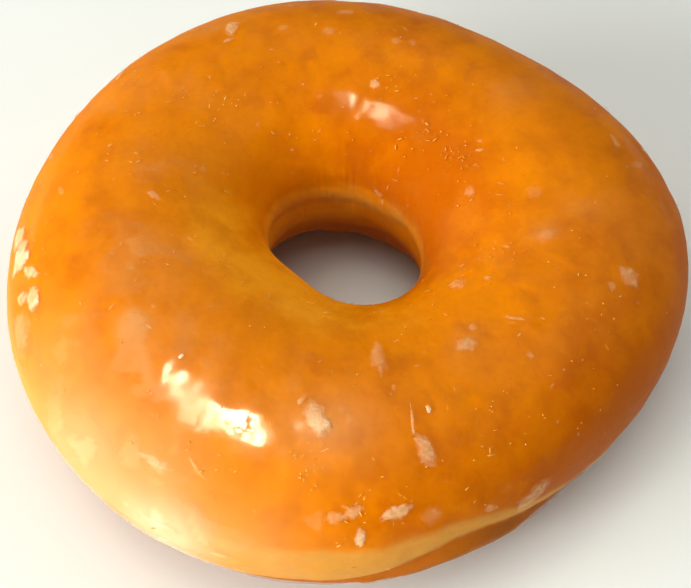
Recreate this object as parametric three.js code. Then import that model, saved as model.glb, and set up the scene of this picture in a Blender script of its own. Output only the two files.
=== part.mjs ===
// A raised ring doughnut, whole, with a sugar glaze: one closed ring of fried dough.
// Millimetres, +Z up. It rests on z = 0, and the z axis passes through the middle of its outline.

import * as THREE from 'three';
import { mergeVertices } from 'three/addons/utils/BufferGeometryUtils.js';

// Driving sizes
const outerRadius = 46;
const holeRadius = 9.9;
const height = 29.5;

// The widest level of the ring, and how square its section is: 2 is an ellipse
const widestHeight = 15.8;
const fullness = 2.12;

// The underside settles by this much where the ring rests, which leaves a flat band
const restingFlat = 0.6;

// The crease where the two fried halves meet. Outside it runs low, under a pale band, and in
// the hole it runs higher.
const creaseHeight = 9.4;
const holeCreaseHeight = 15.4;
const creaseDepth = 0.8;
const creaseWidth = 1.3;

// At one place on the outside the lower half swells, and the crease climbs over it
const swellAngle = -1.2;
const swellSpread = 0.24;
const swellClimb = 6.0;
const swellBulge = 0.9;

// Slow unevenness of the hand-cut ring. Each wave adds cosine and sine parts, in
// millimetres, that repeat so many times round the ring. Angle 0 is at +X.
const outlineWaves = [
  { times: 2, cosine: 0.2, sine: 0.4 },
  { times: 3, cosine: 1.1, sine: 0.0 },
  { times: 4, cosine: 0.6, sine: 0.2 },
];
const holeWaves = [
  { times: 1, cosine: 0.9, sine: 1.3 },
  { times: 2, cosine: 0.2, sine: -1.3 },
  { times: 3, cosine: 0.0, sine: 0.2 },
];
const crownWaves = [
  { times: 1, cosine: -0.5, sine: 0.0 },
  { times: 2, cosine: 0.2, sine: 0.4 },
];

// Steps round the ring and round its section. The section's steps crowd together at the
// sides and in the lower half, where the crease runs.
const ringSteps = 78;
const sectionSteps = 60;
const sideCrowding = 0.2;
const lowerCrowding = 0.2;

const sectionMiddle = (outerRadius + holeRadius) / 2;
const sectionHalfWidth = (outerRadius - holeRadius) / 2;

function waveSum(waves, angle) {
  let sum = 0;
  for (const wave of waves) {
    sum += wave.cosine * Math.cos(wave.times * angle);
    sum += wave.sine * Math.sin(wave.times * angle);
  }
  return sum;
}

// A cosine or sine raised to the power that gives the section its fullness
function fullPower(value) {
  return Math.sign(value) * Math.abs(value) ** (2 / fullness);
}

// One point of the ring's section at a turn from 0 to 2 pi, starting at the outer side
function sectionPoint(turn) {
  const across = fullPower(Math.cos(turn));
  const up = fullPower(Math.sin(turn));
  const reach = up > 0 ? height - widestHeight : widestHeight + restingFlat;
  const level = Math.max(widestHeight + reach * up, 0);
  return new THREE.Vector2(sectionMiddle + sectionHalfWidth * across, level);
}

function sectionPoints() {
  const points = [];
  for (let step = 0; step < sectionSteps; step += 1) {
    const even = (2 * Math.PI * step) / sectionSteps;
    const towardsSides = sideCrowding * Math.sin(2 * even);
    const towardsLowerHalf = lowerCrowding * Math.cos(even);
    points.push(sectionPoint(even - towardsSides - towardsLowerHalf));
  }
  points.push(points[0].clone());
  return points;
}

// How far the crease cuts in, less the bulge of the swollen place under it. Across is 1 at
// the outer side of the section and -1 at the hole.
function creaseInset(angle, across, level) {
  const outside = Math.max(across, 0);
  const swell = outside * Math.exp(-(((angle - swellAngle) / swellSpread) ** 2));
  const creaseLevel = across > 0 ? creaseHeight + swellClimb * swell : holeCreaseHeight;
  const crease = creaseDepth * Math.exp(-(((level - creaseLevel) / creaseWidth) ** 2));
  const bulgeLevel = creaseLevel - 2 * creaseWidth;
  const bulge = swell * swellBulge * Math.exp(-(((level - bulgeLevel) / (2 * creaseWidth)) ** 2));
  return (crease - bulge) * across * Math.abs(across);
}

// Moves each point of the even ring out to the uneven outline, hole and crown
function unevenRing(geometry) {
  const position = geometry.attributes.position;
  for (let i = 0; i < position.count; i += 1) {
    const x = position.getX(i);
    const y = position.getY(i);
    const z = position.getZ(i);
    const angle = Math.atan2(y, x);
    const across = (Math.hypot(x, y) - sectionMiddle) / sectionHalfWidth;
    const outer = outerRadius + waveSum(outlineWaves, angle);
    const hole = holeRadius + waveSum(holeWaves, angle);
    const evenRadius = (outer + hole) / 2 + (across * (outer - hole)) / 2;
    const radius = evenRadius - creaseInset(angle, across, z);
    const crownShare = Math.max(z - widestHeight, 0) / (height - widestHeight);
    const level = z + crownShare * waveSum(crownWaves, angle);
    position.setXYZ(i, radius * Math.cos(angle), radius * Math.sin(angle), level);
  }
}

// Puts the middle of the outline on the z axis and the resting band on z = 0
function centreOnFloor(geometry) {
  geometry.computeBoundingBox();
  const middle = geometry.boundingBox.getCenter(new THREE.Vector3());
  geometry.translate(-middle.x, -middle.y, -geometry.boundingBox.min.z);
}

function ringGeometry() {
  const lathe = new THREE.LatheGeometry(sectionPoints(), ringSteps);
  lathe.rotateX(Math.PI / 2);
  unevenRing(lathe);
  centreOnFloor(lathe);
  lathe.deleteAttribute('normal');
  lathe.deleteAttribute('uv');
  const closed = mergeVertices(lathe, 1e-4);
  closed.computeVertexNormals();
  return closed;
}

const glazedDough = new THREE.MeshStandardMaterial({ color: 0xd58a2e, roughness: 0.4, metalness: 0 });

const doughRing = new THREE.Mesh(ringGeometry(), glazedDough);
doughRing.name = 'dough_ring';

const doughnut = new THREE.Group();
doughnut.add(doughRing);

export default doughnut;
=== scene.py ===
import math
import random
from functools import lru_cache

import bpy
from bpy.props import FloatProperty, FloatVectorProperty, IntProperty, PointerProperty
from mathutils import Matrix, Vector, noise


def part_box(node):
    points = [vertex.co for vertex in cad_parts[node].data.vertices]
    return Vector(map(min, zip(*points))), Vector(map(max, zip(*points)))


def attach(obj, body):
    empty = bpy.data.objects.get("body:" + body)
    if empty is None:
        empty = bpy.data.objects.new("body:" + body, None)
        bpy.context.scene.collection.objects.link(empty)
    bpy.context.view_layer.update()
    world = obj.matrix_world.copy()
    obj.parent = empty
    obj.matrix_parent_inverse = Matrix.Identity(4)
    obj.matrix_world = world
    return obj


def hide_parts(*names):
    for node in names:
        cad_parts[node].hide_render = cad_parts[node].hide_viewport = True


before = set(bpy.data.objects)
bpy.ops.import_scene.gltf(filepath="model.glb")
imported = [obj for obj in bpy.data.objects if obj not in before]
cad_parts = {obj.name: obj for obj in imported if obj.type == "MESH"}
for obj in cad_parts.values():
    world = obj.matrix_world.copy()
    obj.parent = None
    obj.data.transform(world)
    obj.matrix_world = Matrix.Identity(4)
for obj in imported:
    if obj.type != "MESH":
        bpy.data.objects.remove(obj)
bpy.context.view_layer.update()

bl_info = {
    "name": "Glazed Ring Doughnut",
    "version": (1, 0, 0),
    "blender": (4, 5, 0),
    "location": "3D View > Sidebar > Doughnut",
    "description": "A whole raised ring doughnut with a thin set sugar glaze, its flakes and its specks",
    "category": "Add Mesh",
}

RING_NODE = "dough_ring"
RING_LOW, RING_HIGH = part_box(RING_NODE)
MM = 0.001

# Seeds of the chance shapes: how the sugar's plates tilt, its flakes and its specks
PLATE_SEED = 1
FLAKE_SEED = 41
SPECK_SEED = 7

# Slides the dough's slow unevenness over the ring, in millimetres
UNEVEN_SLIDE = Vector((2.7, -1.5, 0.0))

# Slow unevenness of the hand-cut ring: how often each wave repeats round the ring, and its
# cosine and sine parts in millimetres. Ring angle 0 is at +X and the shown side is at -90
# degrees. Section angle 0 is the outer side, 90 the crown and 180 the hole.
OUTLINE_WAVES = ((2, 0.2, 0.4), (3, 1.1, 0.0), (4, 0.6, 0.2))
HOLE_WAVES = ((1, 0.9, 1.3), (2, 0.2, -1.3), (3, 0.0, 0.2))
CROWN_WAVES = ((1, -0.5, 0.0), (2, 0.2, 0.4))

# Ring angles of the middle of each stretch that differs: the fold in the side, the wide part
# of the pale band, which is partly painted light, and its blurred part, the side with painted
# shade, the painted light on the slope into the hole, whose far part gets painted shade, and
# the duller part of that slope
FOLD_ANGLE = math.radians(-117)
WIDE_BAND_ANGLE = math.radians(-125)
BLURRED_BAND_ANGLE = math.radians(-165)
PAINTED_SHADE_ANGLE = math.radians(-5)
PAINTED_LIGHT_SLOPE_ANGLE = math.radians(-130)
DULL_SLOPE_ANGLE = math.radians(67)

# Sugar flakes on the shown side: ring angle and section angle in degrees, length and width
# in millimetres, lean from the ring's direction in degrees, and how solid the sugar is.
# FLAKE_SCALE stretches all their lengths and widths. The two small solid dots at ring angles
# -129 and -71 are painted glints, and the thin bright streaks at -117.8 and -108.5 low on the
# side are painted highlights.
FLAKE_SCALE = (1.25, 1.9)
FLAKES = (
    (115, 65, 4.6, 1.5, 62, 0.6), (118, 74, 2.6, 0.8, 12, 0.45), (104, 76, 2.4, 1.5, 20, 0.22),
    (93, 81, 2.6, 1.4, 0, 0.25), (89, 65, 3.4, 1.2, 0, 0.3), (75, 82, 2.0, 1.0, 30, 0.25),
    (71, 80, 1.8, 0.9, -20, 0.25), (14, 126, 2.0, 1.5, 40, 0.3), (178, 98, 2.6, 1.0, 55, 0.4),
    (160, 116, 1.8, 1.0, 10, 0.2), (175, 58, 2.6, 0.7, 30, 0.25), (-179, 31, 4.4, 3.0, 20, 0.75),
    (-173, 34, 4.8, 3.2, 20, 0.85), (-168.5, 42, 4.4, 1.3, 45, 0.75),
    (-162.5, 41, 2.8, 2.8, 90, 0.85), (-176, 36, 3.4, 1.4, 60, 0.6),
    (-164.5, 34, 3.6, 1.6, 60, 0.7), (-159.5, 27, 6.5, 3.2, 15, 0.35),
    (-121.5, 37.5, 4.4, 0.9, 10, 0.5), (-117.8, 7, 4.4, 0.8, 0, 0.9), (-108.5, 3, 3.6, 0.6, 0, 0.6),
    (-115, 44, 5.0, 0.5, -34, 0.35), (13, 50, 4.0, 1.1, -60, 0.25), (-10, 95, 3.2, 1.9, -30, 0.25),
    (5, 100, 2.8, 1.8, 20, 0.15), (-15, 59, 4.6, 1.9, 62, 0.5), (-19, 64, 2.0, 0.9, 50, 0.3),
    (-39, 88, 3.6, 0.5, -60, 0.35), (-30, 110, 1.6, 0.6, -70, 0.35), (-37, 120, 2.6, 1.6, 30, 0.35),
    (-54, 91, 3.4, 2.0, 15, 0.4), (-49, 96, 1.6, 1.0, 10, 0.3), (-79, 99, 6.4, 1.5, 85, 0.4),
    (-95, 74.5, 5.6, 2.2, -55, 0.6), (-93.5, 72.5, 2.4, 1.3, -40, 0.5),
    (-99, 81, 2.0, 0.6, 60, 0.4), (-74, 57, 4.6, 1.7, -80, 0.55),
    (-71, 73, 0.9, 0.8, 0, 0.95), (-75, 70, 5.2, 0.35, 80, 0.5), (-77, 85, 1.2, 0.5, 60, 0.4),
    (-44, 72, 1.2, 1.0, 0, 0.3), (-94, 32, 3.0, 2.6, 0, 0.2), (-88, 36, 3.2, 1.2, 30, 0.5),
    (-91, 34, 2.6, 1.3, -20, 0.45), (-81, 33, 4.4, 1.3, 10, 0.7), (-75, 27, 3.0, 2.0, 0, 0.25),
    (-87, 22, 3.4, 1.4, 85, 0.75), (-57, 8, 7.5, 2.4, 12, 0.5), (-65, 16, 2.6, 1.0, -30, 0.4),
    (-42, -8, 1.6, 1.1, 0, 0.6), (61, 163, 2.2, 0.7, -20, 0.3), (78, 107, 1.8, 1.3, 0, 0.5),
    (-129, 78, 0.7, 0.6, 0, 0.9), (28, 112, 1.4, 0.5, 60, 0.35), (31, 109, 1.2, 0.4, 40, 0.3),
)

# Hazy places in the glaze: ring angle, section angle, spread in millimetres, strength, and
# how pale the haze is, from 0 for dull over 1 for milky to the value below for bright painted
# glare. The patches low on the front left flank are partly milky sugar and partly painted glare
# from the window, and those paler than milky are painted highlight; the patch at ring angle 144
# is a painted sheen along the rim, and the one at ring angle -100 a painted halo round the
# crown's highlight.
GLARE_WHITE = 1.6
CLOUDS = (
    (-170, 83, 3.5, 0.6, 0.2), (-156, 86, 5.0, 0.8, 0.0), (-146, 88, 5.5, 1.0, 0.0),
    (-135, 87, 5.0, 1.0, 0.0), (-127, 78, 5.0, 0.7, 0.4), (168, 98, 4.0, 0.4, 0.3),
    (-147, 60, 4.0, 0.4, 0.8), (-150, 28, 8.0, 0.5, 1.0), (-134, 26, 9.0, 0.6, 1.25),
    (-120, 36, 7.0, 0.6, 1.0), (-103, 16, 6.0, 0.6, 1.0), (-118, 1, 6.5, 1.0, 1.5),
    (-136, 2, 6.5, 0.9, 1.25), (144, 66, 6.0, 0.4, 0.5), (118, 60, 4.0, 0.3, 0.5),
    (-10, 97, 2.4, 0.5, 0.3), (2, 84, 3.0, 0.35, 0.2), (42, 78, 4.0, 0.3, 0.2),
    (-54, 90, 3.0, 0.3, 0.3), (-90, 73, 4.5, 0.5, 1.0), (-100, 71, 6.0, 0.35, 0.9),
)

# Nests of fine sugar: ring angle, section angle, spread in millimetres, how many grains
NESTS = (
    (30, 124, 1.9, 34), (-96, 55, 2.2, 22), (-112, 42, 2.4, 20), (136, 103, 2.6, 16),
    (168, 89, 2.6, 14), (-22, 109, 2.4, 22), (50, 122, 2.0, 18), (-84, 38, 2.4, 16),
    (141, 71, 3.0, 14), (-26, 68, 2.2, 16), (-60, 60, 3.0, 16), (75, 96, 2.4, 20),
)

# Soft patches of the overhead light, which only show as gloss: azimuth and elevation in
# degrees, width and length in metres, and share of the lamp power
LAMP_PANES = (
    (-170, 76, 0.12, 0.24, 1.0), (-172, 69.5, 0.09, 0.28, 0.3), (-172, 82.5, 0.08, 0.24, 0.08),
)
LAMP_AZIMUTH = -112

# Colours of the lights and of the air around, and how strongly the air shines
LIGHT_COLOUR = (1.0, 0.96, 0.76)
LAMP_COLOUR = (1.0, 0.98, 0.66)
AIR_COLOUR = (1.0, 0.93, 0.78, 1.0)
AIR_STRENGTH = 0.24

# The camera aims at this level of the ring, and this far beside its middle
AIM_LEVEL = 15.2 * MM
AIM_SHIFT = Vector((-0.48 * MM, -4.27 * MM, 0))


class DoughnutSizes(bpy.types.PropertyGroup):
    """Sizes of the ring and its sugar"""

    outer_radius: FloatProperty(
        name="Outer radius", description="Mean radius of the outline",
        default=46 * MM, min=20 * MM, unit="LENGTH", subtype="DISTANCE")
    hole_radius: FloatProperty(
        name="Hole radius", description="Mean radius of the hole at its narrowest",
        default=9.9 * MM, min=2 * MM, unit="LENGTH", subtype="DISTANCE")
    height: FloatProperty(
        name="Height", description="Mean height of the crown above the table",
        default=29.5 * MM, min=10 * MM, unit="LENGTH", subtype="DISTANCE")
    widest_height: FloatProperty(
        name="Widest height", description="Level at which the ring is widest",
        default=15.8 * MM, unit="LENGTH", subtype="DISTANCE")
    resting_flat: FloatProperty(
        name="Resting flat", description="How far the underside settles where it rests",
        default=0.6 * MM, unit="LENGTH", subtype="DISTANCE")
    crease_height: FloatProperty(
        name="Crease height", description="Level of the crease between the two fried halves",
        default=9.4 * MM, unit="LENGTH", subtype="DISTANCE")
    hole_crease_height: FloatProperty(
        name="Hole crease height", description="Level of that crease inside the hole",
        default=15.4 * MM, unit="LENGTH", subtype="DISTANCE")
    crease_depth: FloatProperty(
        name="Crease depth", description="How far the crease cuts in",
        default=0.8 * MM, unit="LENGTH", subtype="DISTANCE")
    hole_crease_depth: FloatProperty(
        name="Hole crease depth", description="How far that crease cuts in inside the hole",
        default=0.45 * MM, unit="LENGTH", subtype="DISTANCE")
    crease_width: FloatProperty(
        name="Crease width", description="Half width of the crease",
        default=1.3 * MM, unit="LENGTH", subtype="DISTANCE")
    fullness: FloatProperty(
        name="Fullness", description="How square the section is, where 2 is an ellipse",
        default=2.12, min=1.6, max=4.0)
    glaze_film: FloatProperty(
        name="Glaze film", description="Thickness of the glaze on the crown",
        default=0.22 * MM, unit="LENGTH", subtype="DISTANCE")
    glaze_bead: FloatProperty(
        name="Glaze bead", description="Extra thickness along the glaze's lower edge",
        default=0.45 * MM, unit="LENGTH", subtype="DISTANCE")
    flake_thickness: FloatProperty(
        name="Flake thickness", description="How far the sugar flakes stand up",
        default=0.12 * MM, unit="LENGTH", subtype="DISTANCE")
    fine_flakes: IntProperty(
        name="Fine flakes", description="Number of small flakes scattered over the glaze",
        default=260, min=0, max=900)
    back_flakes: IntProperty(
        name="Back flakes", description="Number of large flakes strewn over the back flank",
        default=26, min=0, max=100)
    specks: IntProperty(
        name="Specks", description="Number of sugar specks scattered over the glaze",
        default=400, min=0, max=4000)


class DoughnutColours(bpy.types.PropertyGroup):
    """Colours of the crust, the band, the sugar and the floor"""

    crust: FloatVectorProperty(
        name="Crust", description="Golden crust of the crown",
        default=(0.74, 0.215, 0.0), size=3, subtype="COLOR", min=0, max=1)
    # Deeper fried places, and also the painted shade low on one side and on the far slope into the hole
    crust_dark: FloatVectorProperty(
        name="Dark crust", description="Deeper fried places in the crust",
        default=(0.50, 0.108, 0.0), size=3, subtype="COLOR", min=0, max=1)
    # Painted light: a lighter crust colour that lights up the hole and the near slope into it
    painted_light_crust: FloatVectorProperty(
        name="Light crust", description="Lighter crust in the hole and on part of its slope",
        default=(0.95, 0.36, 0.01), size=3, subtype="COLOR", min=0, max=1)
    band: FloatVectorProperty(
        name="Pale band", description="The band that stood clear of the oil",
        default=(0.64, 0.295, 0.05), size=3, subtype="COLOR", min=0, max=1)
    # Darker colour of the lower half, below the crease
    underside: FloatVectorProperty(
        name="Underside", description="Browned lower half",
        default=(0.38, 0.11, 0.006), size=3, subtype="COLOR", min=0, max=1)
    milky_sugar: FloatVectorProperty(
        name="Milky sugar", description="Pale set sugar in the flakes and along the flank",
        default=(0.95, 0.56, 0.24), size=3, subtype="COLOR", min=0, max=1)
    # Also the colour of the painted glare in the glaze's palest haze
    bright_sugar_and_glare: FloatVectorProperty(
        name="Bright sugar", description="The whitest sugar in the thickest flakes",
        default=(1.0, 0.82, 0.58), size=3, subtype="COLOR", min=0, max=1)
    dull_haze: FloatVectorProperty(
        name="Dull haze", description="Greyish haze where the glaze over the crown has dried",
        default=(0.80, 0.42, 0.14), size=3, subtype="COLOR", min=0, max=1)
    amber_crystal: FloatVectorProperty(
        name="Amber crystal", description="Deeper tint of the fine sugar crystals",
        default=(1.0, 0.42, 0.02), size=3, subtype="COLOR", min=0, max=1)
    gold_crystal: FloatVectorProperty(
        name="Gold crystal", description="Lighter tint of the fine sugar crystals",
        default=(1.0, 0.6, 0.14), size=3, subtype="COLOR", min=0, max=1)
    floor: FloatVectorProperty(
        name="Floor", description="Pale floor under the doughnut",
        default=(0.80, 0.86, 1.0), size=3, subtype="COLOR", min=0, max=1)


class DoughnutStage(bpy.types.PropertyGroup):
    """Camera and lights"""

    view_elevation: FloatProperty(
        name="View elevation", description="Height of the camera above the horizon",
        default=math.radians(54.5), subtype="ANGLE", unit="ROTATION")
    view_distance: FloatProperty(
        name="View distance", description="Distance of the camera from its aim",
        default=0.2462, unit="LENGTH", subtype="DISTANCE")
    lens: FloatProperty(
        name="Lens", description="Focal length of the camera in millimetres",
        default=93.35, min=20, max=300)
    window_power: FloatProperty(
        name="Window power", description="Power of the broad light at the front left",
        default=12.5, min=0)
    lamp_power: FloatProperty(
        name="Lamp power", description="Power of the small lamps overhead",
        default=11.5, min=0)
    ceiling_power: FloatProperty(
        name="Ceiling power", description="Power of the soft light from above",
        default=6.7, min=0)
    back_power: FloatProperty(
        name="Back power", description="Power of the soft light from behind",
        default=1.5, min=0)


# ---- The ring's form ----

def wave_sum(waves, angle):
    """Sum of the waves at a ring angle, in metres."""
    total = 0.0
    for times, cosine, sine in waves:
        total += cosine * math.cos(times * angle) + sine * math.sin(times * angle)
    return total * MM


def bell(distance, spread):
    """A smooth bump that is 1 at no distance."""
    return math.exp(-(distance / spread) ** 2)


def smooth(low, high, value):
    """Rises smoothly from 0 at low to 1 at high."""
    share = min(max((value - low) / (high - low), 0.0), 1.0)
    return share * share * (3 - 2 * share)


def turn_between(a, b):
    """Signed difference of two angles, from minus pi to pi."""
    return math.atan2(math.sin(a - b), math.cos(a - b))


class RingForm:
    """The dough's surface: a ring angle and a section angle give a point on it."""

    # At one place on the outside the lower half swells, and the crease climbs over it
    SWELL_ANGLE = -1.2
    SWELL_SPREAD = 0.24
    SWELL_CLIMB = 6.0 * MM
    SWELL_BULGE = 0.9 * MM

    # How far the crease inside the hole rises and falls
    HOLE_CREASE_WANDER = 2.4 * MM

    def __init__(self, sizes):
        noise.seed_set(PLATE_SEED)
        self.sizes = sizes
        self.shift = Vector((0, 0, 0))
        self.stretch = Vector((1, 1, 1))
        self.fit_to_frame()

    def fit_to_frame(self):
        """Places the ring so that its box is the box of the solid ring in the frame."""
        steps = 180
        points = [
            self.point(math.tau * i / steps, math.tau * j / steps)
            for i in range(steps) for j in range(steps)
        ]
        low = Vector([min(p[k] for p in points) for k in range(3)])
        high = Vector([max(p[k] for p in points) for k in range(3)])
        for k in range(3):
            self.stretch[k] = (RING_HIGH[k] - RING_LOW[k]) / (high[k] - low[k])
            self.shift[k] = RING_LOW[k] - low[k] * self.stretch[k]

    @lru_cache(maxsize=64)
    def swell(self, angle):
        """Share of the swollen place, where the lower half bulges and the crease climbs."""
        return bell(turn_between(angle, self.SWELL_ANGLE), self.SWELL_SPREAD)

    @lru_cache(maxsize=64)
    def station(self, angle):
        """The ring's outer radius, hole radius and crown height change at one ring angle."""
        outer = self.sizes.outer_radius + wave_sum(OUTLINE_WAVES, angle)
        hole = self.sizes.hole_radius + wave_sum(HOLE_WAVES, angle)
        return outer, hole, wave_sum(CROWN_WAVES, angle)

    def crease_level(self, angle, across):
        """Level of the crease, outside where across is positive and in the hole elsewhere."""
        if across <= 0:
            wander = noise.noise(Vector((math.cos(angle), math.sin(angle), 7)) * 1.7)
            return self.sizes.hole_crease_height + wander * self.HOLE_CREASE_WANDER
        return self.sizes.crease_height + self.SWELL_CLIMB * self.swell(angle) * across

    def full_power(self, value):
        """A cosine or sine raised to the power that gives the section its fullness."""
        return math.copysign(abs(value) ** (2 / self.sizes.fullness), value)

    def across(self, turn):
        """1 at the outer side of the section, -1 at the hole."""
        return self.full_power(math.cos(turn))

    def point(self, angle, turn):
        """The point of the even dough, without its relief."""
        s = self.sizes
        across = self.across(turn)
        up = self.full_power(math.sin(turn))
        reach = s.height - s.widest_height if up > 0 else s.widest_height + s.resting_flat
        level = max(s.widest_height + reach * up, 0.0)
        outer, hole, crown = self.station(angle)
        crease_level = self.crease_level(angle, across)
        depth = s.crease_depth if across > 0 else s.hole_crease_depth
        crease = depth * bell(level - crease_level, s.crease_width)
        swell = self.swell(angle) * max(across, 0)
        bulge_level = crease_level - 2 * s.crease_width
        bulge = swell * self.SWELL_BULGE * bell(level - bulge_level, 2 * s.crease_width)
        inset = (crease - bulge) * across * abs(across)
        radius = (outer + hole) / 2 + across * (outer - hole) / 2 - inset
        crown_share = max(level - s.widest_height, 0) / (s.height - s.widest_height)
        level += crown_share * crown
        flat = Vector((radius * math.cos(angle), radius * math.sin(angle), level))
        return flat * self.stretch + self.shift

    def frame_at(self, angle, turn):
        """Point, the way along the ring and the way along the section, each as long as the
        metres that one radian covers, and the normal."""
        tiny = 1e-3
        here = self.point(angle, turn)
        along = (self.point(angle + tiny, turn) - here) / tiny
        round_section = (self.point(angle, turn + tiny) - here) / tiny
        normal = along.cross(round_section).normalized()
        return here, along, round_section, normal


def plate_tilt(point):
    """Slight tilts of the sugar's cracked plates, blended where the plates meet."""
    plates_per_metre, blend, steepness = 230, 0.32, 0.17 * MM
    warped = point * plates_per_metre + noise.noise_vector(point * 400) * 0.3
    distances, centres = noise.voronoi(warped)
    height, weights = 0.0, 0.0
    for distance, centre in zip(distances, centres):
        weight = bell(distance, blend)
        height += weight * noise.noise_vector(centre * 3.7).dot(warped - centre)
        weights += weight
    return steepness * height / max(weights, 1e-6)


def plate_shade(point):
    """A chance number from 0 to 1 for the sugar's plate at a point, soft where plates meet."""
    plates_per_metre, blend = 220, 0.35
    warped = point * plates_per_metre + noise.noise_vector(point * 530) * 0.5
    distances, centres = noise.voronoi(warped)
    total, weights = 0.0, 0.0
    for distance, centre in zip(distances, centres):
        weight = bell(distance, blend)
        total += weight * (0.5 + 0.5 * noise.cell(centre * 7.3))
        weights += weight
    return total / max(weights, 1e-6)


def relief(form, point, angle, turn):
    """Height of the dough's own unevenness over the even form, in metres."""
    settled = smooth(0.2 * MM, 3.0 * MM, point.z)
    slid = point + UNEVEN_SLIDE * MM
    broad = noise.noise(slid * 75) * 0.22 * MM
    dimples = noise.noise(point * 250 + Vector((7, 3, 1))) * 0.08 * MM
    ripples = noise.noise(point * 620 + Vector((1, 6, 2))) * 0.025 * MM
    across = form.across(turn)
    crease = form.crease_level(angle, across)
    side = bell(point.z - crease - 2.5 * MM, 5 * MM)
    ring_length = angle * form.sizes.outer_radius
    pleats = noise.noise(Vector((ring_length * 520, turn * 3.2, 4.0))) * 0.09 * MM * side
    lower = 1 - smooth(crease - 2 * MM, crease, point.z)
    blister = max(noise.noise(point * 210 + Vector((2, 9, 5))) - 0.3, 0) * 0.9 * MM * lower
    fold_share = bell(turn_between(angle, FOLD_ANGLE), 0.42) * max(across, 0)
    fold = fold_share * 0.4 * MM * bell(point.z - 15.6 * MM, 0.9 * MM)
    plates = plate_tilt(slid) * smooth(crease, crease + 8 * MM, point.z)
    return (broad + dimples + ripples + pleats + blister + fold + plates) * settled


# ---- Mesh helpers ----

def mesh_object(name, points, faces, attributes=None):
    """A smooth-shaded object from points and faces, with named numbers on its points."""
    mesh = bpy.data.meshes.new(name)
    mesh.from_pydata(points, [], faces)
    mesh.validate()
    mesh.update()
    mesh.shade_smooth()
    for attribute, values in (attributes or {}).items():
        layer = mesh.attributes.new(attribute, "FLOAT", "POINT")
        layer.data.foreach_set("value", values)
    made = bpy.data.objects.new(name, mesh)
    bpy.context.scene.collection.objects.link(made)
    return made


def ring_faces(rings, across):
    """Quads over a grid that closes both round the ring and round its section."""
    faces = []
    for i in range(rings):
        following = (i + 1) % rings
        for j in range(across):
            beside = (j + 1) % across
            faces.append((i * across + j, following * across + j,
                          following * across + beside, i * across + beside))
    return faces


def crowded_turn(share):
    """Section angle at a share of the way round, with more steps by the crease."""
    even = math.tau * share
    return even - 0.15 * math.sin(2 * even) - 0.12 * math.cos(even)


# ---- Shader helpers ----

def node(tree, kind, inputs=None, **settings):
    """Adds a node. Inputs are numbers, or other nodes' sockets to link from."""
    made = tree.nodes.new(kind)
    for name, value in settings.items():
        setattr(made, name, value)
    for socket, value in (inputs or {}).items():
        if isinstance(value, bpy.types.NodeSocket):
            tree.links.new(value, made.inputs[socket])
        else:
            made.inputs[socket].default_value = value
    return made


def rgba(colour):
    """A colour that covers fully."""
    return (*colour, 1.0)


def cloud_noise(tree, grain, detail=3.0, roughness=0.55, shift=(0, 0, 0)):
    """Noise on the object's own coordinates, with grain the size of one lump in metres."""
    place = node(tree, "ShaderNodeTexCoord").outputs["Object"]
    moved = node(tree, "ShaderNodeMapping", {"Vector": place, "Location": shift})
    made = node(tree, "ShaderNodeTexNoise", {
        "Vector": moved.outputs["Vector"], "Scale": 1 / grain, "Detail": detail,
        "Roughness": roughness})
    return made.outputs["Fac"]


def wandering_place(tree, grain, lumps, push):
    """The object's own coordinates, pushed about by noise of so many lumps for each grain."""
    place = node(tree, "ShaderNodeTexCoord").outputs["Object"]
    wander = node(tree, "ShaderNodeTexNoise", {"Vector": place, "Scale": lumps / grain, "Detail": 2.0})
    moved = node(tree, "ShaderNodeVectorMath", {
        0: wander.outputs["Color"], 1: [push * grain] * 3, 2: place}, operation="MULTIPLY_ADD")
    return moved.outputs["Vector"]


def plate_values(tree, grain):
    """A chance number for each of many uneven plates with soft, wandering edges."""
    cells = node(tree, "ShaderNodeTexVoronoi", {
        "Vector": wandering_place(tree, grain, 2.4, 0.7), "Scale": 1 / grain, "Smoothness": 0.35},
        feature="SMOOTH_F1")
    return node(tree, "ShaderNodeSeparateColor", {"Color": cells.outputs["Color"]}).outputs["Red"]


def whole_between_cracks(tree, grain):
    """1 over the sugar and 0 along some wandering cracks in it."""
    edges = node(tree, "ShaderNodeTexVoronoi", {
        "Vector": wandering_place(tree, grain, 3, 1), "Scale": 1 / grain},
        feature="DISTANCE_TO_EDGE")
    healed = remap(tree, cloud_noise(tree, 2 * grain, detail=1.0, shift=(9, 4, 2)), 0.38, 0.5)
    return maths(tree, "MAXIMUM", remap(tree, edges.outputs["Distance"], 0.015, 0.06), healed)


def remap(tree, value, low, high, to_low=0.0, to_high=1.0):
    """Moves a value from one range to another with smooth ends."""
    made = node(tree, "ShaderNodeMapRange", {
        "Value": value, "From Min": low, "From Max": high, "To Min": to_low, "To Max": to_high},
        interpolation_type="SMOOTHSTEP")
    return made.outputs["Result"]


def maths(tree, operation, a, b, clamp=False):
    """One step of arithmetic on two values."""
    made = node(tree, "ShaderNodeMath", {0: a, 1: b}, operation=operation, use_clamp=clamp)
    return made.outputs["Value"]


def blended(tree, factor, first, second, blend="MIX"):
    """One colour mixed over another."""
    made = node(tree, "ShaderNodeMix", {0: factor, 6: first, 7: second}, data_type="RGBA",
                blend_type=blend)
    return made.outputs[2]


def product(tree, *values):
    """All the values multiplied."""
    made = values[0]
    for value in values[1:]:
        made = maths(tree, "MULTIPLY", made, value)
    return made


def added(tree, *values):
    """All the values added up."""
    made = values[0]
    for value in values[1:]:
        made = maths(tree, "ADD", made, value)
    return made


def painted(tree, attribute):
    """A named number that the mesh carries on its points."""
    return node(tree, "ShaderNodeAttribute", attribute_name=attribute).outputs["Fac"]


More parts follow.
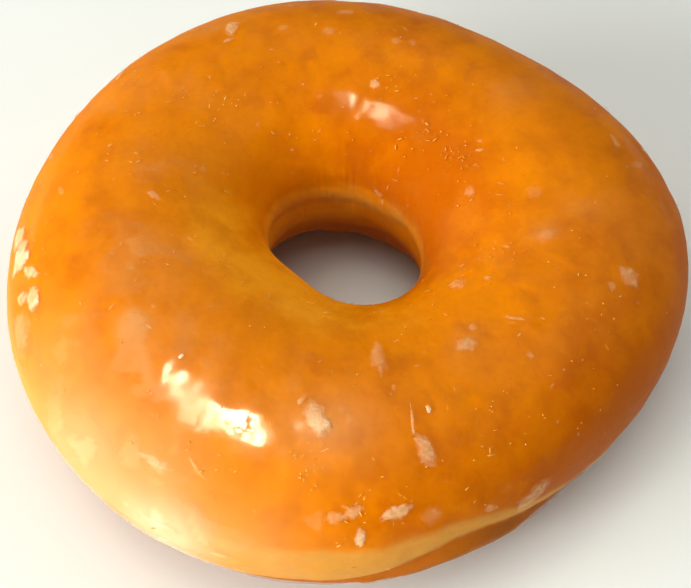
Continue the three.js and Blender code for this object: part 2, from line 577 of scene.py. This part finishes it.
def add_bump(tree, shader, height, strength, distance):
    """Fine relief that is too small for the mesh."""
    bump = node(tree, "ShaderNodeBump", {
        "Height": height, "Strength": strength, "Distance": distance})
    tree.links.new(bump.outputs["Normal"], shader.inputs["Normal"])


def new_material(name):
    """A material, its node tree and its one shader."""
    material = bpy.data.materials.new(name)
    material.use_nodes = True
    tree = material.node_tree
    return material, tree, tree.nodes["Principled BSDF"]


# ---- Materials ----

def crust_colour(tree, colours, mottle, plates):
    """The crust, from light to deeply fried, with painted shade and light, the darker lower half and the
    pale band.
    """
    broad = cloud_noise(tree, 16 * MM, detail=2.0)
    # The noise gives deeper fried places; the "fried" attribute is painted shade above 0 and painted
    # light below 0
    fried = added(tree, remap(tree, broad, 0.35, 0.7, 0.0, 0.25),
                  remap(tree, mottle, 0.35, 0.75, 0.0, 0.3), product(tree, plates, 0.2),
                  painted(tree, "fried"))
    # Above 0 the crust darkens, partly deeper fried and partly painted shade; below 0 it lightens as
    # painted light
    crust = blended(tree, remap(tree, fried, 0, 1), rgba(colours.crust), rgba(colours.crust_dark))
    crust = blended(tree, remap(tree, fried, 0, -0.7), crust, rgba(colours.painted_light_crust))
    # The lower half, below the crease, is darker
    darker_lower_half = blended(tree, remap(tree, mottle, 0.3, 0.7, 0.0, 0.5), rgba(colours.underside),
                      rgba(colours.crust_dark))
    crust = blended(tree, painted(tree, "under"), crust, darker_lower_half)

    raggedness, band_strength = 0.9, 0.9
    ragged = product(tree, maths(tree, "SUBTRACT", mottle, 0.5), raggedness)
    band = maths(tree, "ADD", painted(tree, "band"), ragged, clamp=True)
    band = product(tree, remap(tree, band, 0.05, 0.95), band_strength)
    return blended(tree, band, crust, rgba(colours.band))


def dough_material(colours):
    """Golden fried crust with painted shade and light, a pale band and a darker lower half, under clear
    sugar.
    """
    material, tree, shader = new_material("golden_dough")
    plate_size = 5 * MM
    mottle = cloud_noise(tree, 4.2 * MM, detail=3.0, roughness=0.45, shift=(3, 1, 2))
    plates = plate_values(tree, plate_size)
    coloured = crust_colour(tree, colours, mottle, plates)
    fine = cloud_noise(tree, 0.9 * MM, detail=3.0, shift=(1, 5, 2))
    grainy = remap(tree, fine, 0.3, 0.7, 0.97, 1.03)
    grain = node(tree, "ShaderNodeCombineColor", {"Red": grainy, "Green": grainy, "Blue": grainy})
    coloured = blended(tree, 1.0, coloured, grain.outputs["Color"], "MULTIPLY")
    tree.links.new(coloured, shader.inputs["Base Color"])

    glazed = product(tree, painted(tree, "glazed"), remap(tree, plates, 0.1, 0.9, 0.55, 1.0),
                     whole_between_cracks(tree, plate_size))
    tree.links.new(remap(tree, glazed, 0, 1, 0.65, 0.45), shader.inputs["Roughness"])
    tree.links.new(glazed, shader.inputs["Coat Weight"])
    shader.inputs["Coat Roughness"].default_value = 0.11
    shader.inputs["Coat IOR"].default_value = 1.4
    shader.inputs["IOR"].default_value = 1.42
    shader.inputs["Specular IOR Level"].default_value = 0.1
    shader.inputs["Specular Tint"].default_value = (1.0, 0.6, 0.1, 1)
    shader.inputs["Subsurface Weight"].default_value = 0.18
    shader.inputs["Subsurface Radius"].default_value = (1.0, 0.35, 0.1)
    shader.inputs["Subsurface Scale"].default_value = 3 * MM

    ripple = cloud_noise(tree, 1.6 * MM, detail=2.0, shift=(4, 4, 1))
    crumbly = cloud_noise(tree, 7 * MM, detail=1.0, shift=(8, 3, 3))
    crumbs = cloud_noise(tree, 0.5 * MM, detail=1.0, shift=(2, 2, 7))
    height = added(tree, ripple, product(tree, crumbs, remap(tree, crumbly, 0.45, 0.6, 0.0, 0.45)))
    add_bump(tree, shader, height, 0.35, 0.15 * MM)
    return material


def glaze_material(colours):
    """Thin set glaze: clear over most of the crown, cloudy in patches and along its edge, with painted
    glare in its palest patches.
    """
    material, tree, shader = new_material("thin_glaze")
    fine = cloud_noise(tree, 0.8 * MM, detail=2.0, shift=(6, 1, 3))
    pale = painted(tree, "pale")
    haze = blended(tree, remap(tree, pale, 0, 1), rgba(colours.dull_haze), rgba(colours.milky_sugar))
    # Haze paler than milky turns to the brightest sugar colour, as painted glare and highlight
    haze = blended(tree, remap(tree, pale, 1, GLARE_WHITE), haze, rgba(colours.bright_sugar_and_glare))
    tree.links.new(haze, shader.inputs["Base Color"])
    tree.links.new(painted(tree, "cover"), shader.inputs["Alpha"])
    tree.links.new(remap(tree, fine, 0.3, 0.7, 0.3, 0.45), shader.inputs["Roughness"])
    shader.inputs["Specular IOR Level"].default_value = 0.3
    add_bump(tree, shader, fine, 0.3, 0.1 * MM)
    return material


def flake_material(colours):
    """Cracked, milky flakes of set sugar, thin and soft at their edges."""
    material, tree, shader = new_material("set_sugar")
    crumbly = cloud_noise(tree, 0.9 * MM, detail=3.0, roughness=0.65, shift=(5, 2, 8))
    streaky = cloud_noise(tree, 2.2 * MM, detail=2.0, shift=(3, 7, 2))
    solid = painted(tree, "solid")
    bright = maths(tree, "MULTIPLY", solid, remap(tree, streaky, 0.35, 0.65, 0.3, 1.2), clamp=True)
    sugar = blended(tree, bright, rgba(colours.milky_sugar), rgba(colours.bright_sugar_and_glare))
    tree.links.new(sugar, shader.inputs["Base Color"])

    ragged = product(tree, maths(tree, "SUBTRACT", crumbly, 0.5), 0.7)
    edge_softness = maths(tree, "SUBTRACT", 0.85, product(tree, solid, 0.5))
    inner = remap(tree, added(tree, painted(tree, "inner"), ragged), -0.05, edge_softness)
    whole = maths(tree, "MAXIMUM", remap(tree, crumbly, 0.36, 0.62, 0.65, 1.0), solid)
    cover = maths(tree, "MULTIPLY", product(tree, solid, 0.8), product(tree, inner, whole), clamp=True)
    tree.links.new(cover, shader.inputs["Alpha"])
    tree.links.new(remap(tree, crumbly, 0.3, 0.7, 0.3, 0.5), shader.inputs["Roughness"])
    shader.inputs["Specular IOR Level"].default_value = 0.3
    add_bump(tree, shader, crumbly, 0.2, 0.1 * MM)
    return material


def speck_material(colours):
    """Fine golden sugar crystals, some clear and some cloudy."""
    material, tree, shader = new_material("sugar_crystal")
    tint = cloud_noise(tree, 4 * MM, detail=1.0, shift=(9, 2, 4))
    colour = blended(tree, remap(tree, tint, 0.4, 0.65), rgba(colours.amber_crystal),
                     rgba(colours.gold_crystal))
    tree.links.new(colour, shader.inputs["Base Color"])
    tree.links.new(remap(tree, tint, 0.35, 0.65, 0.2, 0.7), shader.inputs["Alpha"])
    tree.links.new(remap(tree, tint, 0.3, 0.7, 0.15, 0.3), shader.inputs["Roughness"])
    return material


def floor_material(colours):
    """Matt pale board with a faint grain."""
    material, tree, shader = new_material("pale_floor")
    faint = cloud_noise(tree, 50 * MM, detail=4.0)
    tint = blended(tree, remap(tree, faint, 0.3, 0.7, 0.0, 0.25), rgba(colours.floor),
                   rgba([c * 0.97 for c in colours.floor]))
    tree.links.new(tint, shader.inputs["Base Color"])
    shader.inputs["Roughness"].default_value = 0.75
    return material


# ---- Pieces ----

def band_share(form, point, angle, turn):
    """How far a place belongs to the pale band: its lower edge is the crease."""
    across = form.across(turn)
    crease = form.crease_level(angle, across)
    wander = noise.noise(Vector((math.cos(angle), math.sin(angle), 3)) * 2.5) * 0.6 * MM
    if across > 0:
        lowest_top, widening = 12.4, 7.0
        # Towards the lower left the band widens; the widened part is partly the pale band and partly
        # painted light from the window
        wide = smooth(0.1, 0.62, math.cos(angle - WIDE_BAND_ANGLE))
        blurred = smooth(0.45, 0.9, math.cos(angle - BLURRED_BAND_ANGLE))
        top = (lowest_top + widening * wide) * MM + wander
        softness = (1.5 + 2.8 * blurred) * MM
        strength = 1.0
    else:
        top = 19.5 * MM + wander
        softness = 2.0 * MM
        strength = 0.45
    rise = smooth(crease - 0.5 * MM, crease + 0.9 * MM, point.z)
    fall = 1 - smooth(top - softness, top + softness, point.z)
    return rise * fall * strength


def painted_shade_and_light(point, angle, across):
    """Painted shade and light in the crust's colour: above 0 painted shade low on one side and on
    the far slope into the hole, below 0 painted light in the hole and on the near slope."""
    side = smooth(-0.2, 0.9, math.cos(angle - PAINTED_SHADE_ANGLE))
    low = 1 - smooth(15 * MM, 31 * MM, point.z)
    hole = smooth(-0.95, -0.998, across)
    slope = (smooth(0.0, -0.6, across) - hole) * (math.cos(angle - PAINTED_LIGHT_SLOPE_ANGLE) + 0.3)
    return 0.95 * side * low - hole - 0.7 * slope


def glossiness(point, angle, across):
    """How clear and glossy the sugar over the dough is: most on the crown, least on the
    underside, in the hole and round the back."""
    crown = 0.18 + 0.82 * smooth(23.5 * MM, 27.5 * MM, point.z)
    covered = smooth(3.5 * MM, 7.5 * MM, point.z) * crown * smooth(-1.0, 0.15, across)
    inner_dull = 0.5 * bell(turn_between(angle, DULL_SLOPE_ANGLE), 0.5) * smooth(0.0, -0.3, across)
    outer_dull = 0.85 * smooth(-0.2, 0.5, math.sin(angle)) * smooth(0.1, 0.45, across)
    patchy = 0.82 + 0.3 * noise.noise(point * 95 + Vector((4, 1, 7)))
    return covered * (1 - inner_dull - outer_dull) * patchy


def build_dough(sizes, colours):
    """The fried ring itself, with its band, crease and settled underside, and painted shade and light in
    its crust.
    """
    form = RingForm(sizes)
    rings, across = 420, 220
    points, band, under, glazed, fried = [], [], [], [], []
    for i in range(rings):
        angle = math.tau * i / rings
        for j in range(across):
            turn = crowded_turn(j / across)
            here, _, _, normal = form.frame_at(angle, turn)
            spot = here + normal * relief(form, here, angle, turn)
            spot.z = max(spot.z, 0.0)
            points.append(spot)
            side = form.across(turn)
            crease = form.crease_level(angle, side)
            band.append(band_share(form, here, angle, turn))
            lower = 1 - smooth(crease - 0.9 * MM, crease + 0.5 * MM, here.z)
            under.append(lower * (1 - 0.75 * smooth(-0.5, -0.9, side)))
            glazed.append(glossiness(here, angle, side))
            # The "fried" attribute holds painted shade and painted light, not frying
            fried.append(painted_shade_and_light(here, angle, side))
    dough = mesh_object("dough", points, ring_faces(rings, across),
                        {"band": band, "under": under, "glazed": glazed, "fried": fried})
    dough.data.materials.append(dough_material(colours))
    return dough


def haze_at(clouds, place):
    """How much haze lies at a place, and how pale it is; the palest haze is painted glare."""
    haze = 0.2 * max(noise.noise(place * 55 + Vector((3, 8, 2))) - 0.15, 0) + 1e-3
    whiteness = 0.3 * haze
    for centre, spread, strength, paleness in clouds:
        cloud = strength * bell((place - centre).length, spread)
        haze += cloud
        whiteness += cloud * paleness
    return haze, whiteness / haze


def haze_cover(place, haze, paleness):
    """How much of what lies under it the haze hides: patchy where it is dull, even where pale, most
    where it is painted glare.
    """
    curdled = 0.25 + 0.75 * smooth(-0.2, 0.15, noise.noise(place * 220 + Vector((2, 2, 6))))
    patchy = max(curdled * (0.4 + 0.6 * smooth(0.3, 0.6, plate_shade(place))),
                 0.75 * smooth(0.5, 1.1, paleness))
    return min(haze, 1.0) * patchy * (0.45 + 0.35 * smooth(1.0, GLARE_WHITE, paleness))


def glaze_edges(angle):
    """Section angles where the film starts on the outside and ends in the hole."""
    round_ring = Vector((math.cos(angle), math.sin(angle), 0))
    start = -0.72 + 0.16 * noise.noise(round_ring * 3.1) + 0.07 * noise.noise(round_ring * 11)
    end = math.pi + 0.66 + 0.14 * noise.noise(round_ring * 2.3 + Vector((5, 5, 5)))
    return start, end


def build_glaze(sizes, colours):
    """A closed film over the crown and sides, with an uneven beaded lower edge."""
    form = RingForm(sizes)
    rings, outside, inside = 400, 130, 14
    edge_depth, base_depth, section_radius = 0.15 * MM, 0.6 * MM, 17 * MM
    clouds = [(form.point(math.radians(a), math.radians(t)), spread * MM, strength, paleness)
              for a, t, spread, strength, paleness in CLOUDS]
    points, cover, pale = [], [], []
    across = outside + inside
    for i in range(rings):
        angle = math.tau * i / rings
        start, end = glaze_edges(angle)
        for j in range(across):
            if j < outside:
                share = j / (outside - 1)
            else:
                share = 1 - (j - outside + 1) / (inside + 1)
            turn = start + (end - start) * share
            here, _, _, normal = form.frame_at(angle, turn)
            from_edge = min(share, 1 - share) * (end - start) * section_radius
            edge = bell(from_edge - 0.9 * MM, 0.8 * MM)
            if j < outside:
                rounding = min(from_edge / (0.5 * MM), 1.0)
                film = sizes.glaze_film * (1 + 0.6 * noise.noise(here * 170)) + sizes.glaze_bead * edge
                rounded = math.sqrt(max(2 * rounding - rounding ** 2, 0))
                lift = (film + edge_depth) * rounded - edge_depth
            else:
                lift = -base_depth
            points.append(here + normal * (lift + relief(form, here, angle, turn)))
            haze, paleness = haze_at(clouds, here)
            beaded = 0.25 * edge if j < outside and form.across(turn) > 0 else 0.0
            cover.append(haze_cover(here, haze, paleness) + beaded)
            pale.append(paleness)
    glaze = mesh_object("glaze", points, ring_faces(rings, across), {"cover": cover, "pale": pale})
    glaze.data.materials.append(glaze_material(colours))
    return glaze


def shard_outline(chance, corners, spokes):
    """Outline of an angular shard: its reach in each of the spokes' directions, 1 at most."""
    turns = sorted(math.tau * (k + chance.uniform(-0.32, 0.32)) / corners for k in range(corners))
    tips = [(a, chance.uniform(0.65, 1.0)) for a in turns]
    tips.append((tips[0][0] + math.tau, tips[0][1]))
    reach = []
    for spoke in range(spokes):
        way = tips[0][0] + math.tau * spoke / spokes
        k = max(i for i in range(corners) if tips[i][0] <= way + 1e-9)
        (a, near), (b, far) = tips[k], tips[k + 1]
        gap = near * math.sin(way - a) + far * math.sin(b - way)
        reach.append((way, near * far * math.sin(b - a) / max(gap, 1e-6)))
    return reach


def add_flake(form, soup, chance, place, size, lean, solid, thickness, spokes=30):
    """One closed shard that follows the surface: rings from its middle out, then its base."""
    points, faces, solidity, inner = soup
    angle, turn = place
    length, width = size
    base_lift, base_depth = 0.2 * MM, 0.2 * MM
    shares = (0.0, 0.35, 0.65, 0.88, 1.0, 0.7, 0.0)
    top_rings = 5
    _, along, up, _ = form.frame_at(angle, turn)
    outline = shard_outline(chance, chance.randint(5, 9), spokes)
    grain = Vector((chance.uniform(0, 50), chance.uniform(0, 50), 0))
    first = len(points)
    for ring, share in enumerate(shares):
        for way, reach in outline[:1] if share == 0.0 else outline:
            ragged = 1 + 0.18 * noise.noise(Vector((math.cos(way), math.sin(way), 0)) * 3.5 + grain)
            u = math.cos(way) * length / 2 * share * reach * ragged
            v = math.sin(way) * width / 2 * share * reach * ragged
            east = u * math.cos(lean) - v * math.sin(lean)
            north = u * math.sin(lean) + v * math.cos(lean)
            spot_angle, spot_turn = angle + east / along.length, turn + north / up.length
            base, _, _, normal = form.frame_at(spot_angle, spot_turn)
            lift = relief(form, base, spot_angle, spot_turn)
            if ring < top_rings:
                grainy = noise.noise(Vector((east, north, 0)) * 1500 + grain)
                lift += base_lift + thickness * (1 - share ** 4) * (1 + 0.4 * grainy)
                inner.append(1 - share)
            else:
                lift -= base_depth
                inner.append(0.0)
            solidity.append(solid)
            points.append(base + normal * lift)
    starts = [first]
    for share in shares[:-1]:
        starts.append(starts[-1] + (1 if share == 0.0 else spokes))
    last = len(shares) - 2
    for spoke in range(spokes):
        beside = (spoke + 1) % spokes
        faces.append((starts[0], starts[1] + spoke, starts[1] + beside))
        for ring in range(1, last):
            faces.append((starts[ring] + spoke, starts[ring + 1] + spoke,
                          starts[ring + 1] + beside, starts[ring] + beside))
        faces.append((starts[last] + spoke, starts[last + 1], starts[last] + beside))


def chance_place(chance, low_turn, high_turn):
    """A place anywhere round the ring, between two section angles in degrees."""
    return chance.uniform(-math.pi, math.pi), math.radians(chance.uniform(low_turn, high_turn))


def near_nest(form, chance, nest):
    """A place near the middle of a nest of fine sugar."""
    angle, turn, spread, _ = nest
    _, along, up, _ = form.frame_at(math.radians(angle), math.radians(turn))
    east, north = chance.gauss(0, spread * MM), chance.gauss(0, spread * MM)
    return math.radians(angle) + east / along.length, math.radians(turn) + north / up.length


def build_flakes(sizes, colours):
    """The large flakes of the shown side, a few of them painted glints and highlights, others all round,
    and many fine ones.
    """
    form = RingForm(sizes)
    chance = random.Random(FLAKE_SEED)
    soup = ([], [], [], [])
    for angle, turn, length, width, lean, solid in FLAKES:
        place = math.radians(angle), math.radians(turn)
        size = length * FLAKE_SCALE[0] * MM, width * FLAKE_SCALE[1] * MM
        add_flake(form, soup, chance, place, size, math.radians(lean), solid, sizes.flake_thickness)
    for _ in range(sizes.back_flakes):
        place = math.radians(chance.uniform(15, 175)), math.radians(chance.uniform(-25, 62))
        size = chance.uniform(1.8, 5) * MM, chance.uniform(0.8, 2) * MM
        add_flake(form, soup, chance, place, size, chance.uniform(0, math.pi),
                  chance.uniform(0.2, 0.6), sizes.flake_thickness)
    for _ in range(sizes.fine_flakes):
        size = chance.uniform(0.5, 1.8) * MM, chance.uniform(0.25, 0.7) * MM
        place = chance_place(chance, -35, 205)
        add_flake(form, soup, chance, place, size, chance.uniform(0, math.pi),
                  chance.uniform(0.12, 0.4), sizes.flake_thickness / 2, spokes=12)
    points, faces, solidity, inner = soup
    flakes = mesh_object("sugar_flakes", points, faces, {"solid": solidity, "inner": inner})
    flakes.data.materials.append(flake_material(colours))
    return flakes


def build_specks(sizes, colours):
    """Tiny crystals and slivers on the glaze, scattered and in nests, each a closed grain."""
    form = RingForm(sizes)
    chance = random.Random(SPECK_SEED)
    sides, lift, flatness = 6, 0.22 * MM, 0.3
    places = [chance_place(chance, -25, 138) for _ in range(sizes.specks)]
    for nest in NESTS:
        places.extend(near_nest(form, chance, nest) for _ in range(nest[3]))
    points, faces = [], []
    for angle, turn in places:
        here, along, _, normal = form.frame_at(angle, turn)
        centre = here + normal * (relief(form, here, angle, turn) + lift)
        size = chance.uniform(0.05, 0.13) * MM
        sliver = chance.choice((1.0, 1.3, 1.6, 4.0))
        east = along.normalized()
        north = normal.cross(east)
        spin = chance.uniform(0, math.pi)
        long_way = east * math.cos(spin) + north * math.sin(spin)
        short_way = normal.cross(long_way)
        first = len(points)
        for step in range(sides):
            way = math.tau * step / sides
            outward = long_way * math.cos(way) * sliver + short_way * math.sin(way)
            points.append(centre + outward * size * chance.uniform(0.8, 1.2))
        points.append(centre + normal * size * flatness)
        points.append(centre - normal * size * flatness)
        top, bottom = first + sides, first + sides + 1
        for step in range(sides):
            beside = (step + 1) % sides
            faces.append((first + step, first + beside, top))
            faces.append((first + beside, first + step, bottom))
    specks = mesh_object("sugar_specks", points, faces)
    specks.data.materials.append(speck_material(colours))
    return specks


# ---- Stage ----

def direction(azimuth, elevation):
    """Unit vector towards a place in the sky, azimuth counted from +X."""
    a, e = math.radians(azimuth), math.radians(elevation)
    return Vector((math.cos(a) * math.cos(e), math.sin(a) * math.cos(e), math.sin(e)))


def add_area_light(name, way, size, power, aim, distance=0.9, long_side=Vector((0, 0, 1)),
                   colour=LIGHT_COLOUR):
    """A rectangular light that looks at the aim, its length turned to a direction."""
    data = bpy.data.lights.new(name, "AREA")
    data.shape = "RECTANGLE"
    data.size, data.size_y = size
    data.energy = power
    data.color = colour
    lamp = bpy.data.objects.new(name, data)
    lamp.location = aim + way * distance
    lengthways = (long_side - way * long_side.dot(way)).normalized()
    turned = Matrix((lengthways.cross(way), lengthways, way)).transposed()
    lamp.rotation_euler = turned.to_euler()
    bpy.context.scene.collection.objects.link(lamp)
    return lamp


def build_floor(colours):
    """A wide floor just under the doughnut."""
    half, gap = 4.0, 0.02 * MM
    corners = [(-half, -half, 0), (half, -half, 0), (half, half, 0), (-half, half, 0)]
    floor = mesh_object("floor", corners, [(0, 1, 2, 3)])
    floor.location.z = RING_LOW[2] - gap
    floor.data.materials.append(floor_material(colours))


def build_lights(stage, aim):
    """A window at the front left, small gloss lamps overhead, and soft light above and behind."""
    window = add_area_light("window_light", direction(-148, 17), (0.8, 0.5), stage.window_power, aim)
    window.visible_glossy = False
    gap_share = 0.1
    add_area_light("window_gap", direction(-145, 21), (0.12, 0.06),
                   stage.window_power * gap_share, aim)
    for number, (azimuth, elevation, width, length, share) in enumerate(LAMP_PANES):
        lamp = add_area_light(
            f"overhead_lamp_{number}", direction(azimuth, elevation), (width, length),
            stage.lamp_power * share, aim, long_side=direction(LAMP_AZIMUTH, 0), colour=LAMP_COLOUR)
        lamp.visible_diffuse = False
    ceiling = add_area_light("ceiling_light", direction(-172, 79), (1.1, 1.1), stage.ceiling_power,
                             aim, distance=1.3)
    ceiling.visible_glossy = False
    back = add_area_light("back_light", direction(35, 50), (0.6, 0.6), stage.back_power, aim)
    back.visible_glossy = False

    world = bpy.data.worlds.new("studio_air")
    world.use_nodes = True
    backdrop = world.node_tree.nodes["Background"]
    backdrop.inputs["Color"].default_value = AIR_COLOUR
    backdrop.inputs["Strength"].default_value = AIR_STRENGTH
    bpy.context.scene.world = world
    bpy.context.scene.view_settings.view_transform = "Standard"


def build_camera(stage, aim):
    """The camera looks down at the shown side, with no shift and everything sharp."""
    data = bpy.data.cameras.new("camera")
    data.lens = stage.lens
    data.sensor_width = 36
    data.clip_start = 0.01
    camera = bpy.data.objects.new("camera", data)
    forward = Vector((0, math.cos(stage.view_elevation), -math.sin(stage.view_elevation)))
    camera.location = aim + AIM_SHIFT - forward * stage.view_distance
    camera.rotation_euler = (math.pi / 2 - stage.view_elevation, 0, 0)
    bpy.context.scene.collection.objects.link(camera)
    bpy.context.scene.camera = camera


# ---- Operators ----

class MakeDough(bpy.types.Operator):
    """Makes the fried dough ring in place of the plain solid ring"""

    bl_idname = "doughnut.make_dough"
    bl_label = "Dough ring"

    def execute(self, context):
        dough = build_dough(context.scene.doughnut_sizes, context.scene.doughnut_colours)
        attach(dough, "root")
        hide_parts(RING_NODE)
        return {"FINISHED"}


class MakeGlaze(bpy.types.Operator):
    """Makes the thin film of glaze"""

    bl_idname = "doughnut.make_glaze"
    bl_label = "Glaze"

    def execute(self, context):
        glaze = build_glaze(context.scene.doughnut_sizes, context.scene.doughnut_colours)
        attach(glaze, "root")
        return {"FINISHED"}


class MakeSugar(bpy.types.Operator):
    """Makes the sugar flakes and the sugar specks on the glaze"""

    bl_idname = "doughnut.make_sugar"
    bl_label = "Sugar flakes and specks"

    def execute(self, context):
        for build in (build_flakes, build_specks):
            sugar = build(context.scene.doughnut_sizes, context.scene.doughnut_colours)
            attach(sugar, "root")
        return {"FINISHED"}


class MakeStage(bpy.types.Operator):
    """Makes the floor, the lights and the camera"""

    bl_idname = "doughnut.make_stage"
    bl_label = "Stage"

    def execute(self, context):
        aim = Vector(((RING_LOW[0] + RING_HIGH[0]) / 2, (RING_LOW[1] + RING_HIGH[1]) / 2,
                      RING_LOW[2] + AIM_LEVEL))
        build_floor(context.scene.doughnut_colours)
        build_lights(context.scene.doughnut_stage, aim)
        build_camera(context.scene.doughnut_stage, aim)
        return {"FINISHED"}


class DoughnutPanel(bpy.types.Panel):
    """Sizes, colours and steps of the doughnut"""

    bl_idname = "VIEW3D_PT_doughnut"
    bl_label = "Glazed Ring Doughnut"
    bl_space_type = "VIEW_3D"
    bl_region_type = "UI"
    bl_category = "Doughnut"

    def draw(self, context):
        layout = self.layout
        scene = context.scene
        for group in (scene.doughnut_sizes, scene.doughnut_colours, scene.doughnut_stage):
            box = layout.box()
            for name in group.__annotations__:
                box.prop(group, name)
        for operator in OPERATORS:
            layout.operator(operator.bl_idname)


OPERATORS = (MakeStage, MakeDough, MakeGlaze, MakeSugar)
GROUPS = {
    "doughnut_sizes": DoughnutSizes,
    "doughnut_colours": DoughnutColours,
    "doughnut_stage": DoughnutStage,
}


def register():
    """Adds the groups, the operators and the panel."""
    for name, group in GROUPS.items():
        bpy.utils.register_class(group)
        setattr(bpy.types.Scene, name, PointerProperty(type=group))
    for made in (*OPERATORS, DoughnutPanel):
        bpy.utils.register_class(made)


def unregister():
    """Takes the groups, the operators and the panel away."""
    for made in (DoughnutPanel, *reversed(OPERATORS)):
        bpy.utils.unregister_class(made)
    for name, group in GROUPS.items():
        delattr(bpy.types.Scene, name)
        bpy.utils.unregister_class(group)


def main():
    """Registers the add-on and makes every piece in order."""
    register()
    bpy.ops.doughnut.make_stage()
    bpy.ops.doughnut.make_dough()
    bpy.ops.doughnut.make_glaze()
    bpy.ops.doughnut.make_sugar()


if __name__ == "__main__":
    main()
